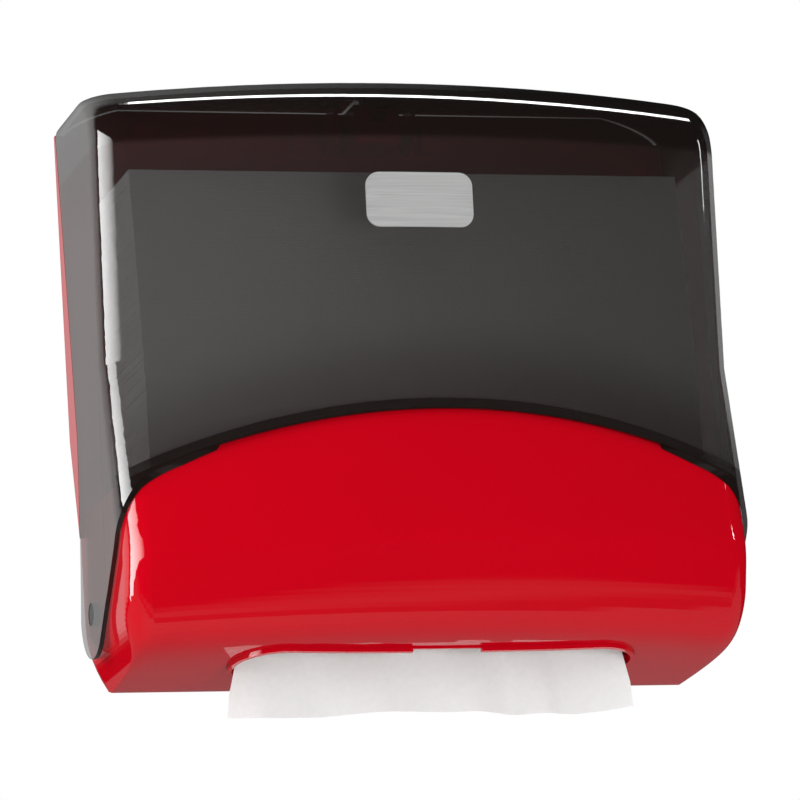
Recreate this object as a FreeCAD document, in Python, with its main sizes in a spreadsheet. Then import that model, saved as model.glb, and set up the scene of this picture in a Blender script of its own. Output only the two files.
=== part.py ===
import FreeCAD, Part
import Sketcher
import math
import os
import re

os.makedirs("parts", exist_ok=True)
doc = FreeCAD.newDocument("wiper_dispenser")
V = FreeCAD.Vector

# Driving sizes in millimetres. Depth runs forward from the wall, rise runs up from the bottom.
sizes = doc.addObject("Spreadsheet::Sheet", "sizes")
TABLE = (
    ("body_width", 427.0),
    ("body_height", 398.0),
    ("mount_rise", 200.0),
    ("shell_wall", 3.0),
    ("side_gap", 1.0),
    ("seat_gap", 0.3),
    ("fit_gap", 0.05),
    ("face_depth", 143.0),
    ("face_lean", 0.062),
    ("face_bow", 29.0),
    ("face_corner", 26.0),
    ("roll_depth", 105.0),
    ("roll_rise", 56.0),
    ("roll_side", 40.0),
    ("roll_side_rise", 20.0),
    ("roll_crown", 5.0),
    ("roll_bow_loss", 0.3),
    ("roll_corner_loss", 0.5),
    ("crease_rise", 235.0),
    ("crease_step", 0.2),
    ("flare_lean", 0.2),
    ("flare_bow", 40.8),
    ("smile_rise", 155.4),
    ("smile_radius", 552.0),
    ("smile_lap", 2.0),
    ("pivot_depth", 34.0),
    ("pivot_rise", 46.0),
    ("leg_radius", 29.0),
    ("leg_brow_depth", 100.8),
    ("leg_brow_rise", 72.8),
    ("rear_bulge", 22.0),
    ("rear_top", 2.0),
    ("chin_depth", 165.0),
    ("chin_belly", 70.0),
    ("lip_inset", 3.8),
    ("belly_blend", 10.0),
    ("under_slope", 28.0),
    ("under_power", 16.4),
    ("under_back", 14.0),
    ("under_taper", 14.0),
    ("under_taper_rise", 44.0),
    ("mouth_half", 133.0),
    ("mouth_back", 48.0),
    ("mouth_front", 113.0),
    ("mouth_corner", 30.0),
    ("liner_wall", 3.0),
    ("liner_proud", 3.0),
    ("liner_height", 7.0),
    ("liner_step_width", 46.0),
    ("liner_step_rise", 5.5),
    ("liner_gap", 0.1),
    ("pin_radius", 7.5),
    ("pin_flange", 9.0),
    ("pin_play", 0.9),
    ("pin_recess", 0.25),
    ("pin_flange_wall", 2.0),
    ("plate_bottom", 1.0),
    ("rim_bottom", 98.0),
    ("rim_taper_rise", 168.0),
    ("rim_top_drop", 22.0),
    ("rim_gap", 0.2),
    ("rim_root", 4.0),
    ("hole_radius", 3.0),
    ("hole_spacing", 280.0),
    ("hole_rows", 240.0),
    ("screw_radius", 1.5),
    ("screw_head", 3.0),
    ("screw_head_height", 2.0),
    ("screw_skin", 0.4),
    ("screw_root", 0.2),
    ("flange_wall", 3.0),
    ("tray_rise", 46.0),
    ("tray_wall", 3.0),
    ("tray_side_gap", 3.7),
    ("tray_depth", 108.0),
    ("tray_flange", 20.0),
    ("tray_flange_inset", 14.0),
    ("slot_inset", 2.0),
    ("slot_back", 56.0),
    ("slot_front", 88.0),
    ("guide_wall", 2.0),
    ("guide_height", 66.0),
    ("guide_front", 100.0),
    ("guide_foot", 12.0),
    ("stack_side_room", 21.7),
    ("stack_back", 9.0),
    ("stack_headroom", 67.0),
    ("stack_top_depth", 94.0),
    ("stack_belly_depth", 108.0),
    ("stack_foot_depth", 103.0),
    ("sheet_depth", 72.0),
    ("sheet_side_gap", 4.0),
    ("sheet_flare", 7.0),
    ("sheet_wall", 1.2),
    ("sheet_drop", 29.0),
    ("sheet_fold", 4.0),
    ("lock_half", 15.5),
    ("lock_depth", 38.0),
    ("lock_height", 25.0),
    ("lock_headroom", 4.0),
    ("lock_ear", 10.0),
    ("lock_ear_inset", 5.0),
    ("cap_wall", 2.0),
    ("button_half", 7.5),
    ("button_back", 23.0),
    ("button_front", 35.0),
    ("button_well", 13.0),
    ("button_proud", 1.8),
    ("button_travel", 3.0),
    ("button_gap", 0.1),
    ("tongue_half", 5.0),
    ("tongue_wall", 2.0),
    ("tongue_gap", 0.4),
    ("tongue_root", 4.0),
    ("tongue_edge", 0.5),
    ("tongue_front", 52.0),
    ("tongue_drop", 6.2),
    ("notch_half", 14.0),
    ("notch_depth", 44.0),
    ("spring_radius", 4.0),
    ("spring_wire", 0.8),
    ("spring_turns", 4.0),
    ("strike_half", 10.0),
    ("strike_back", 46.0),
    ("strike_front", 60.0),
    ("strike_gap", 0.7),
    ("strike_ear", 12.0),
    ("strike_room", 0.5),
    ("strike_pocket", 4.0),
    ("badge_at", -6.0),
    ("badge_half", 36.0),
    ("badge_height", 36.0),
    ("badge_rise", 297.0),
    ("badge_wall", 1.2),
    ("badge_corner", 9.0),
    ("ear_low", 36.0),
    ("ear_high", 98.0),
    ("ear_half", 8.0),
    ("ear_width", 14.0),
    ("foot_screw_back", 24.0),
    ("foot_screw_front", 88.0),
    ("rear_bulge_rise", 119.0),
    ("rear_low_rise", 58.0),
    ("rear_low_depth", 15.0),
    ("rear_high_drop", 120.0),
    ("rear_high_depth", 13.5),
    ("brow_run", 23.0),
    ("brow_climb", 39.2),
    ("brow_end_run", 28.7),
    ("brow_end_climb", 50.7),
    ("fold_still", 0.4),
    ("tab_left_at", -47.5),
    ("tab_right_at", 42.0),
    ("tab_half", 3.5),
    ("tab_height", 20.0),
    ("tab_depth", 7.0),
    ("rib_wall", 3.0),
    ("rib_front", 33.0),
    ("boss_at", -157.0),
    ("boss_radius", 6.0),
    ("boss_drop", 10.0),
)
for row, (alias, value) in enumerate(TABLE, 1):
    sizes.set("A%d" % row, alias)
    sizes.set("B%d" % row, repr(value))
    sizes.setAlias("B%d" % row, alias)
doc.recompute()


# Places that follow from the sizes above.
RULES = {
    "base_side": "body_width / 2 - shell_wall - side_gap",
    "rim_top": "body_height - rim_top_drop",
    "lock_top": "body_height - shell_wall - lock_headroom",
    "lock_bottom": "lock_top - lock_height",
    "button_bottom": "lock_top - button_well",
    "tongue_top": "lock_top - tongue_drop",
    "tray_half": "base_side - shell_wall - tray_side_gap",
    "tray_floor": "tray_rise + tray_wall",
    "stack_half": "base_side - stack_side_room",
    "stack_top": "body_height - stack_headroom - shell_wall",
    "slot_half": "mouth_half - slot_inset",
    "sheet_half": "mouth_half - sheet_side_gap",
}


def E(text):
    def word(match):
        name = match.group(0)
        return "(" + E(RULES[name]) + ")" if name in RULES else "sizes." + name
    return re.sub(r"\b[a-z][a-z_]+\b", word, text)


def S(alias):
    if alias not in RULES:
        return float(sizes.get(alias))
    return value_of(alias)


def value_of(text):
    names = dict((alias, float(sizes.get(alias))) for alias, _ in TABLE)
    plain = E(text).replace("sizes.", "")
    words = re.sub(r"\b[a-z][a-z_]+\b", lambda m: "(%r)" % names[m.group(0)], plain)
    return float(FreeCAD.Units.Quantity(words).Value)


def bind(obj, **rules):
    for prop, text in rules.items():
        obj.setExpression(prop.replace("__", "."), E(text))
    return obj


# Primitives and booleans, all sizes bound to the sheet.
def place(obj, x, depth, rise):
    obj.setExpression(".Placement.Base.x", E(x))
    obj.setExpression(".Placement.Base.y", E("-(%s)" % depth))
    obj.setExpression(".Placement.Base.z", E(rise))
    return obj


def box(name, left, right, back, front, low, high):
    obj = doc.addObject("Part::Box", name)
    bind(obj, Length="(%s) - (%s)" % (right, left), Width="(%s) - (%s)" % (front, back))
    bind(obj, Height="(%s) - (%s)" % (high, low))
    return place(obj, left, front, low)


def rod(name, axis, radius, x, depth, rise, length):
    obj = doc.addObject("Part::Cylinder", name)
    bind(obj, Radius=radius, Height=length)
    turn = {"x": (V(0, 1, 0), 90), "y": (V(1, 0, 0), 90), "z": (V(0, 0, 1), 0)}[axis]
    obj.Placement = FreeCAD.Placement(V(0, 0, 0), FreeCAD.Rotation(*turn))
    return place(obj, x, depth, rise)


def fuse(name, shapes):
    obj = doc.addObject("Part::MultiFuse", name)
    obj.Shapes = shapes
    return obj


def cut(name, base, tool):
    obj = doc.addObject("Part::Cut", name)
    obj.Base = base
    obj.Tool = tool
    return obj


def raw(name, shape):
    obj = doc.addObject("Part::Feature", name)
    obj.Shape = shape
    return obj


NODES = []


def node(obj, label):
    obj.Label = label
    obj.setExpression(".Placement.Base.z", E("-mount_rise"))
    NODES.append(obj)
    return obj


# Plan section of the shells: rear line, two sides, two round corners and a bowed front.
def bow_arc(centre, radius, start, end, sag=None):
    points = []
    for a in (start, (start + end) / 2, end):
        point = centre + V(radius * math.sin(a), -radius * math.cos(a), 0)
        if sag:
            point.z -= sag(point.x)
        points.append(point)
    return Part.Arc(*points).toShape()


def plan(rise, half, depth, bow, corner, inset=0.0, back=0.0, crown=0.0):
    radius = (half ** 2 + bow ** 2) / (2 * bow)
    middle = radius - depth
    side = half - corner
    shift = middle - math.sqrt((radius - corner) ** 2 - side ** 2)
    turn = math.atan2(side, middle - shift)
    wide = half - inset

    def sag(x):
        return crown * (x / wide) ** 2

    edges = [
        Part.makeLine(V(-wide, -back, rise - crown), V(-wide, shift, rise - crown)),
        bow_arc(V(-side, shift, rise), corner - inset, -math.pi / 2, -turn, sag),
        bow_arc(V(0, middle, rise), radius - inset, -turn, turn, sag),
        bow_arc(V(side, shift, rise), corner - inset, turn, math.pi / 2, sag),
        Part.makeLine(V(wide, shift, rise - crown), V(wide, -back, rise - crown)),
        Part.makeLine(V(wide, -back, rise - crown), V(-wide, -back, rise - crown)),
    ]
    return Part.Wire(edges)


def skin(wires, straight=False):
    return Part.makeLoft(wires, True, straight, False, 3)


# The upper face leans forward by its height; the roll closes it to the flat top.
def face_line(rise):
    start = S("body_height") - S("roll_rise")
    return S("face_depth") - S("face_lean") * (start - rise)


def roll_crown(turn):
    share = max(0.0, turn / (math.pi / 2))
    return S("roll_crown") * math.sin(math.pi * share ** 1.5)


def roll_section(turn, inset, back):
    top = S("body_height") - inset
    drop = S("roll_rise") - inset
    rise = top - drop * (1 - math.sin(turn))
    depth = S("face_depth") - S("roll_depth") * (1 - math.cos(turn))
    crown = roll_crown(turn)
    climb = (rise - top + S("roll_side_rise")) / S("roll_side_rise")
    half = S("body_width") / 2
    if climb > 0:
        half -= S("roll_side") * (1 - math.sqrt(max(0.0, 1 - climb ** 2)))
    share = 1 - math.cos(turn)
    bow = S("face_bow") * (1 - S("roll_bow_loss") * share)
    corner = S("face_corner") * (1 - S("roll_corner_loss") * share)
    return plan(rise, half, depth, bow, corner, inset, back, crown)


def upper_envelope(inset=0.0, back=0.0):
    turns = [math.radians(a) for a in (-2, 10, 22, 34, 46, 58, 70, 80, 90)]
    rolled = [roll_section(a, inset, back) for a in turns]
    low = -20.0
    first = plan(low, S("body_width") / 2, face_line(low), S("face_bow"), S("face_corner"), inset, back)
    return skin([first, rolled[0]], True).fuse(skin(rolled))


def flare_depth(rise):
    return face_line(S("crease_rise")) + S("flare_lean") * (S("crease_rise") - rise)


def flare_envelope(inset=0.0, back=0.0):
    half = S("body_width") / 2 - S("crease_step")
    wires = []
    for rise in (-20.0, S("crease_rise") + 45.0):
        wires.append(plan(rise, half, flare_depth(rise), S("flare_bow"), S("face_corner"), inset, back))
    return skin(wires, True)


# Curves that trim the cover and the chin.
def smile_prism(lift, front=250.0):
    reach = S("body_width") / 2 + 20
    apex = S("smile_rise") + lift
    drop = S("smile_radius") - math.sqrt(S("smile_radius") ** 2 - reach ** 2)
    left = V(-reach, 20, apex - drop)
    right = V(reach, 20, apex - drop)
    arch = Part.Arc(left, V(0, 20, apex), right).toShape()
    low_right = V(reach, 20, -60)
    low_left = V(-reach, 20, -60)
    lines = [Part.makeLine(right, low_right), Part.makeLine(low_right, low_left), Part.makeLine(low_left, left)]
    return Part.Face(Part.Wire([arch] + lines)).extrude(V(0, -front, 0))


def side_prism(edges, half):
    return Part.Face(Part.Wire(edges)).extrude(V(2 * half, 0, 0))


def side_point(half, depth, rise):
    return V(-half, -depth, rise)


def leg_points():
    centre = (S("pivot_depth"), S("pivot_rise"))
    brow = (S("leg_brow_depth") - centre[0], S("leg_brow_rise") - centre[1])
    away = math.hypot(*brow)
    aim = math.atan2(brow[1], brow[0]) - math.acos(S("leg_radius") / away)
    touch = (centre[0] + S("leg_radius") * math.cos(aim), centre[1] + S("leg_radius") * math.sin(aim))
    return centre, touch, aim


def rear_cutter(half=230.0, pull=0.0):
    def p(depth, rise):
        return side_point(half, depth - pull, rise)

    radius = S("leg_radius")
    d0, z0 = S("pivot_depth"), S("pivot_rise")
    low = p(d0 - radius, z0)
    bulge = p(S("rear_bulge"), z0 + S("rear_bulge_rise"))
    top = p(S("rear_top"), S("body_height") + 2)
    bottom = p(d0, z0 - radius)
    corner = p(d0 - radius * math.cos(math.pi / 4), z0 - radius * math.sin(math.pi / 4))
    edges = [
        Part.Arc(bottom, corner, low).toShape(),
        Part.Arc(low, p(S("rear_low_depth"), z0 + S("rear_low_rise")), bulge).toShape(),
        Part.Arc(bulge, p(S("rear_high_depth"), S("body_height") - S("rear_high_drop")), top).toShape(),
        Part.makeLine(top, p(-60, S("body_height") + 2)),
        Part.makeLine(p(-60, S("body_height") + 2), p(-60, -60)),
        Part.makeLine(p(-60, -60), p(d0, -60)),
        Part.makeLine(p(d0, -60), bottom),
    ]
    return side_prism(edges, half)


def leg_cutter(half=230.0):
    def p(depth, rise):
        return side_point(half, depth, rise)

    (d0, z0), touch, aim = leg_points()
    radius = S("leg_radius")
    bottom = p(d0, z0 - radius)
    half_turn = (aim - math.pi / 2) / 2
    between = p(d0 + radius * math.cos(half_turn), z0 + radius * math.sin(half_turn))
    brow = p(S("leg_brow_depth"), S("leg_brow_rise"))
    run, climb = S("brow_run"), S("brow_climb")
    end_run, end_climb = S("brow_end_run"), S("brow_end_climb")

    def q(right, up):
        return p(S("leg_brow_depth") + right, S("leg_brow_rise") + up)

    crest, end = q(run, climb), q(end_run, end_climb)
    turn = q(0.62 * run, 0.5 * climb)
    bend = q(run + 0.38 * (end_run - run), climb + 0.49 * (end_climb - climb))
    beyond = q(end_run + 4.5, end_climb + 8.5)
    above = V(beyond.x, beyond.y, S("smile_rise") + 60)
    high = above.z
    edges = [
        Part.Arc(bottom, between, p(*touch)).toShape(),
        Part.makeLine(p(*touch), brow),
        Part.Arc(brow, turn, crest).toShape(),
        Part.Arc(crest, bend, end).toShape(),
        Part.makeLine(end, beyond),
        Part.makeLine(beyond, above),
        Part.makeLine(above, p(300, high)),
        Part.makeLine(p(300, high), p(300, -60)),
        Part.makeLine(p(300, -60), p(d0, -60)),
        Part.makeLine(p(d0, -60), bottom),
    ]
    return side_prism(edges, half)


# Cover: smoke shell, hollow, open behind and below, with a leg to each pivot.
def make_cover():
    outer = upper_envelope().fuse(flare_envelope(0.0, 20.0))
    hollow = [upper_envelope(S("shell_wall"), -5.0), flare_envelope(S("shell_wall"), -5.0)]
    shell = outer.cut(hollow)
    shell = shell.cut(rear_cutter())
    shell = shell.cut(leg_cutter().common(smile_prism(0.0)))
    return shell.removeSplitter()


cover_shell = raw("cover_shell", make_cover())
cover_notch = box("cover_notch", "-notch_half", "notch_half", "-5", "notch_depth",
                  "body_height - shell_wall - 4", "body_height + 5")
leg_holes = rod("leg_holes", "x", "pin_radius + fit_gap", "-body_width / 2 - 5", "pivot_depth", "pivot_rise",
                "body_width + 10")
strike_pilots = fuse("strike_pilots", [
    rod("strike_pilot_%d" % i, "z", "screw_radius + fit_gap", "%d * (strike_half + strike_ear / 2)" % side,
        "(strike_back + strike_front) / 2", "body_height - shell_wall - 1", "shell_wall + 1 - screw_skin")
    for i, side in enumerate((-1, 1))])
cover_tools = fuse("cover_tools", [cover_notch, leg_holes, strike_pilots])
node(cut("cover_cut", cover_shell, cover_tools), "cover")


# Chin: red lower front. The belly swells forward, slopes back and turns under to the rear edge.
def chin_depth_at(rise):
    belly = S("chin_belly")
    if rise <= belly:
        down = 1 - rise / belly
        soft = S("belly_blend") / belly
        slope = (math.hypot(down, soft) - soft) / (math.hypot(1, soft) - soft)
        under = S("chin_depth") - S("under_slope") - S("under_back")
        return S("chin_depth") - S("under_slope") * slope - under * down ** S("under_power")
    top = S("smile_rise") + S("smile_lap")
    blend = S("belly_blend")
    lean = (S("chin_depth") - flare_depth(top) + S("lip_inset")) / (top - belly - blend / 2)
    above = rise - belly
    return S("chin_depth") - lean * (above ** 2 / (2 * blend) if above < blend else above - blend / 2)


# Rises that part the underside's profile, up to a height, into even lengths.
def under_rises(high, count):
    fine = [high * i / 3000 for i in range(3001)]
    lengths = [0.0]
    depths = [chin_depth_at(rise) for rise in fine]
    for i in range(1, len(fine)):
        lengths.append(lengths[-1] + math.hypot(fine[i] - fine[i - 1], depths[i] - depths[i - 1]))
    rises = []
    at = 0
    for k in range(count + 1):
        while lengths[at] < lengths[-1] * k / count - 0.001:
            at += 1
        rises.append(fine[at])
    return rises


def base_half(rise):
    half = S("base_side")
    low = S("under_taper_rise")
    if rise < low:
        half -= S("under_taper") * (1 - rise / low) ** 2
    return half


# The chin's plan runs parallel to the cover's, one lip inset inside it.
def chin_section(rise, inset, back, lift):
    lip = S("lip_inset")
    depth = chin_depth_at(rise)
    ratio = min(1.0, depth / S("chin_depth")) if rise < S("chin_belly") else 1.0
    least = lip + S("shell_wall") + 1
    corner = least + (S("face_corner") - least) * ratio
    bow = S("flare_bow") * ratio
    return plan(rise + lift, base_half(rise) + lip, depth + lip, bow, corner, inset + lip, back)


def chin_envelope(inset=0.0, back=0.0, lift=0.0):
    start = 0.6 * S("chin_belly")
    end = S("chin_belly") + 2 * S("belly_blend")
    under = under_rises(start, 48)
    swell = [start + (end - start) * i / 8 for i in range(9)]
    face = [end, S("smile_rise") + S("smile_lap") + 4]
    skins = []
    for rises in (under, swell, face):
        wires = [chin_section(rise, inset, back, lift) for rise in rises]
        skins.append(skin(wires, rises is not swell))
    return skins[0].fuse(skins[1:])


# Mouth outline: straight rear edge, straight front edge and four round corners.
def mouth_prism(grow, low=-20.0, high=60.0):
    half = S("mouth_half") + grow
    back = -(S("mouth_back") - grow)
    front = -(S("mouth_front") + grow)
    r = S("mouth_corner") + grow
    q = r * (1 - math.cos(math.pi / 4))

    def p(x, y):
        return V(x, y, low)

    edges = [
        Part.makeLine(p(-half + r, front), p(half - r, front)),
        Part.Arc(p(half - r, front), p(half - q, front + q), p(half, front + r)).toShape(),
        Part.makeLine(p(half, front + r), p(half, back - r)),
        Part.Arc(p(half, back - r), p(half - q, back - q), p(half - r, back)).toShape(),
        Part.makeLine(p(half - r, back), p(-half + r, back)),
        Part.Arc(p(-half + r, back), p(-half + q, back - q), p(-half, back - r)).toShape(),
        Part.makeLine(p(-half, back - r), p(-half, front + r)),
        Part.Arc(p(-half, front + r), p(-half + q, front + q), p(-half + r, front)).toShape(),
    ]
    return Part.Face(Part.Wire(edges)).extrude(V(0, 0, high - low))


def make_chin():
    wall = S("shell_wall")
    outer = chin_envelope(0.0, wall)
    shell = outer.cut(chin_envelope(wall, 0.0, wall))
    shell = shell.common(smile_prism(S("smile_lap")))
    return shell.cut(mouth_prism(S("liner_wall") + S("liner_gap")))


chin_shape = raw("chin_shape", make_chin())
# Rear ears that take the chin's screws, one pair near the bottom and one pair higher.
EARS = [(side, rise) for side in (-1, 1) for rise in ("ear_low", "ear_high")]
chin_ears = []
for i, (side, rise) in enumerate(EARS):
    inner = "base_side - shell_wall - ear_width"
    outer_edge = "base_side - shell_wall / 2"
    if rise == "ear_low":
        outer_edge += " - under_taper * (1 - (ear_low - ear_half) / under_taper_rise) ^ 2"
    left, right = (inner, outer_edge) if side > 0 else ("-(%s)" % outer_edge, "-(%s)" % inner)
    chin_ears.append(box("chin_ear_%d" % i, left, right, "shell_wall", "shell_wall + flange_wall",
                         "%s - ear_half" % rise, "%s + ear_half" % rise))
chin_body = fuse("chin_body", [chin_shape] + chin_ears)


# Plate screws all point to the wall: shank through a flange and the plate, head in front.
def screw_spots(name, spots, seat):
    items = []
    for i, (x, rise) in enumerate(spots):
        shank = rod("%s_shank_%d" % (name, i), "y", "screw_radius", x, "screw_skin", rise,
                    "%s - screw_skin + screw_root" % seat)
        head = rod("%s_head_%d" % (name, i), "y", "screw_head", x, seat, rise, "screw_head_height")
        items.append(fuse("%s_%d" % (name, i), [shank, head]))
    group = doc.addObject("Part::Compound", name)
    group.Links = items
    return group


def screw_holes(name, spots):
    return fuse(name, [rod("%s_%d" % (name, i), "y", "screw_radius + fit_gap", x, "-1", rise, "40")
                       for i, (x, rise) in enumerate(spots)])


EAR_X = "(base_side - shell_wall - ear_half)"
CHIN_SPOTS = [("%d * %s" % (side, EAR_X), rise) for side, rise in EARS]
TRAY_SPOTS = [("%d * tray_half / 2" % side, "tray_floor + tray_flange / 2") for side in (-1, 1)]
LOCK_SPOTS = [("%d * (lock_half + lock_ear / 2)" % side, "(lock_bottom + lock_top) / 2") for side in (-1, 1)]

pin_holes = rod("pin_holes", "x", "pin_radius + fit_gap", "-body_width / 2 - 5", "pivot_depth", "pivot_rise",
                "body_width + 10")
chin_tools = fuse("chin_tools", [screw_holes("chin_ear_holes", CHIN_SPOTS), pin_holes])
node(cut("chin_cut", chin_body, chin_tools), "chin_shell")
node(screw_spots("chin_screws_group", CHIN_SPOTS, "shell_wall + flange_wall"), "chin_screws")


# Back plate: follows the inside of the cover at the top and the underside at the bottom.
def plate_outline():
    right = []
    low = S("plate_bottom")
    steps = 6
    for i in range(steps + 1):
        rise = low + (S("under_taper_rise") - low) * i / steps
        right.append((base_half(rise), rise))
    inset = S("shell_wall") + S("side_gap")
    top = S("body_height") - inset
    climb = S("roll_side_rise")
    for i in range(13):
        turn = math.pi / 2 * i / 12
        half = S("body_width") / 2 - inset - S("roll_side") * (1 - math.cos(turn))
        below = climb * (1 - math.sin(turn))
        roll = math.asin(1 - below / (S("roll_rise") - S("shell_wall")))
        right.append((half, top - below - roll_crown(roll)))
    return right


# The rim's lower tail leaves the wall along a slant that meets the cover's rear edge.
def rim_taper():
    def p(depth, rise):
        return side_point(230.0, depth, rise)

    high, low = S("rim_taper_rise"), S("rim_bottom") - 5
    edge = S("rear_low_depth")
    corners = [p(-5, high), p(0, high), p(edge, low), p(edge, low - 20), p(-5, low - 20)]
    edges = [Part.makeLine(corners[i], corners[(i + 1) % 5]) for i in range(5)]
    return side_prism(edges, 230.0)


def make_plate():
    right = plate_outline()
    ring = [V(x, 0, z) for x, z in right] + [V(-x, 0, z) for x, z in reversed(right)]
    face = Part.Face(Part.makePolygon(ring + ring[:1]))
    plate = face.extrude(V(0, -S("shell_wall"), 0))
    half = S("body_width") / 2
    rims = []
    wide = S("shell_wall") + S("side_gap") - S("rim_gap")
    broad = wide + S("rim_root")
    behind = rear_cutter(230.0, S("side_gap"))
    tall = S("rim_top") - S("rim_bottom")
    for side in (-1, 1):
        strip = Part.makeBox(wide, 60, tall, V(side * half - (wide if side > 0 else 0), -60, S("rim_bottom")))
        root = Part.makeBox(broad, S("shell_wall"), tall,
                            V(side * half - (broad if side > 0 else 0), -S("shell_wall"), S("rim_bottom")))
        rims.append(strip.common(behind).cut(rim_taper()))
        rims.append(root.cut(rim_taper()))
    plate = plate.fuse(rims)
    slab = Part.makeBox(500, 100, 500, V(-250, 0, -50))
    return plate.cut(slab).removeSplitter()


plate_shape = raw("plate_shape", make_plate())
# Ribs on the plate: two that flank the lock, two short tabs and a round boss.
RIB_X = "(lock_half + lock_ear + fit_gap)"
RIB_SIDES = (("-%s - rib_wall" % RIB_X, "-" + RIB_X), (RIB_X, RIB_X + " + rib_wall"))
ribs = [box("lock_rib_%d" % i, left, right, "shell_wall - 1", "rib_front", "lock_bottom", "lock_top")
        for i, (left, right) in enumerate(RIB_SIDES)]
tabs = [box("tab_%s" % at, "%s - tab_half" % at, "%s + tab_half" % at, "shell_wall - 1",
            "shell_wall + tab_depth", "lock_bottom", "lock_bottom + tab_height")
        for at in ("tab_left_at", "tab_right_at")]
plate_boss = rod("plate_boss", "y", "boss_radius", "boss_at", "shell_wall - 1", "lock_top - boss_drop",
                 "tab_depth")
plate_body = fuse("plate_body", [plate_shape, plate_boss] + ribs + tabs)
wall_holes = fuse("wall_holes", [
    rod("wall_hole_%d" % i, "y", "hole_radius", "%d * hole_spacing / 2" % side, "-5",
        "mount_rise + %d * hole_rows / 2" % up, "20")
    for i, (side, up) in enumerate(((-1, -1), (1, -1), (-1, 1), (1, 1)))])
plate_tools = fuse("plate_tools", [
    wall_holes, screw_holes("plate_chin_holes", CHIN_SPOTS), screw_holes("plate_tray_holes", TRAY_SPOTS),
    screw_holes("plate_lock_holes", LOCK_SPOTS)])
node(cut("plate_cut", plate_body, plate_tools), "back_shell")


# Mouth liner: a rolled lip that goes through the underside, with a shallow step at the front.
def make_liner():
    ring = mouth_prism(S("liner_wall")).cut(mouth_prism(0.0))
    wall = S("liner_height")
    low = chin_envelope(0.0, -40.0, -S("liner_proud"))
    high = chin_envelope(0.0, -60.0, wall - S("liner_proud"))
    return ring.common(low).cut(high)


liner_shape = raw("liner_shape", make_liner())
liner_notch = box("liner_notch", "-liner_step_width / 2", "liner_step_width / 2", "mouth_front - liner_wall",
                  "mouth_front + 2 * liner_wall", "-liner_height", "liner_step_rise")
node(cut("liner_cut", liner_shape, liner_notch), "mouth_liner")


# Sketched pieces: each sketch lies on an origin plane of its own body.
def start_body(name):
    return doc.addObject("PartDesign::Body", name)


def sketch_on(body, name, role):
    sketch = body.newObject("Sketcher::SketchObject", name)
    plane = [f for f in body.Origin.OriginFeatures if f.Role == role][0]
    sketch.AttachmentSupport = [(plane, "")]
    sketch.MapMode = "FlatFace"
    return sketch


def outline(sketch, corners, guess):
    count = len(corners)
    for i in range(count):
        a, b = guess[i], guess[(i + 1) % count]
        sketch.addGeometry(Part.LineSegment(V(a[0], a[1], 0), V(b[0], b[1], 0)), False)
    for i in range(count):
        sketch.addConstraint(Sketcher.Constraint("Coincident", i, 2, (i + 1) % count, 1))
    for i, (x, y) in enumerate(corners):
        for kind, text, value in (("DistanceX", x, guess[i][0]), ("DistanceY", y, guess[i][1])):
            n = sketch.addConstraint(Sketcher.Constraint(kind, -1, 1, i, 1, value))
            sketch.setExpression("Constraints[%d]" % n, E(text))


def rectangle(sketch, left, right, low, high):
    corners = [(left, low), (right, low), (right, high), (left, high)]
    outline(sketch, corners, [(value_of(x), value_of(y)) for x, y in corners])


def circle(sketch, x, y, radius):
    g = sketch.addGeometry(Part.Circle(V(value_of(x), value_of(y), 0), V(0, 0, 1), value_of(radius)), False)
    for kind, text in (("DistanceX", x), ("DistanceY", y)):
        n = sketch.addConstraint(Sketcher.Constraint(kind, -1, 1, g, 3, value_of(text)))
        sketch.setExpression("Constraints[%d]" % n, E(text))
    n = sketch.addConstraint(Sketcher.Constraint("Radius", g, value_of(radius)))
    sketch.setExpression("Constraints[%d]" % n, E(radius))


def pad(body, sketch, length, name):
    feature = body.newObject("PartDesign::Pad", name)
    feature.Profile = sketch
    feature.setExpression("Length", E(length))
    return feature


def pocket(body, sketch, length, name):
    feature = body.newObject("PartDesign::Pocket", name)
    feature.Profile = sketch
    feature.setExpression("Length", E(length))
    feature.Reversed = True
    return feature


def seat_body(body, label, x, depth, rise):
    body.Label = label
    body.setExpression(".Placement.Base.x", E(x))
    body.setExpression(".Placement.Base.y", E("-(%s)" % depth))
    body.setExpression(".Placement.Base.z", E("%s - mount_rise" % rise))
    NODES.append(body)
    return body


# Tray: floor under the pile, a slot for the wipers and a rear flange on the plate.
tray = start_body("tray_body")
tray_floor = sketch_on(tray, "tray_floor", "XY_Plane")
rectangle(tray_floor, "-tray_half", "tray_half", "-tray_depth", "-shell_wall")
pad(tray, tray_floor, "tray_wall", "tray_floor_pad")
tray_back = sketch_on(tray, "tray_back", "XY_Plane")
rectangle(tray_back, "-tray_half + tray_flange_inset", "tray_half - tray_flange_inset",
          "-shell_wall - flange_wall", "-shell_wall")
pad(tray, tray_back, "tray_wall + tray_flange", "tray_back_pad")
tray_slot = sketch_on(tray, "tray_slot", "XY_Plane")
rectangle(tray_slot, "-slot_half", "slot_half", "-slot_front", "-slot_back")
pocket(tray, tray_slot, "tray_wall + 1", "tray_slot_pocket")
tray_bores = sketch_on(tray, "tray_bores", "XZ_Plane")
for side in (-1, 1):
    circle(tray_bores, "%d * tray_half / 2" % side, "tray_wall + tray_flange / 2", "screw_radius + fit_gap")
pocket(tray, tray_bores, "shell_wall + flange_wall + 1", "tray_bore_pocket")
GUIDE_SCREWS = ("foot_screw_back", "foot_screw_front")
tray_foot_bores = sketch_on(tray, "tray_foot_bores", "XY_Plane")
FOOT_X = "(stack_half + seat_gap + guide_wall + guide_foot / 2)"
for side in (-1, 1):
    for depth in GUIDE_SCREWS:
        circle(tray_foot_bores, "%d * %s" % (side, FOOT_X), "-" + depth, "screw_radius + fit_gap")
pocket(tray, tray_foot_bores, "tray_wall + 1", "tray_foot_bore_pocket")
seat_body(tray, "stack_tray", "0", "0", "tray_rise")
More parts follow.
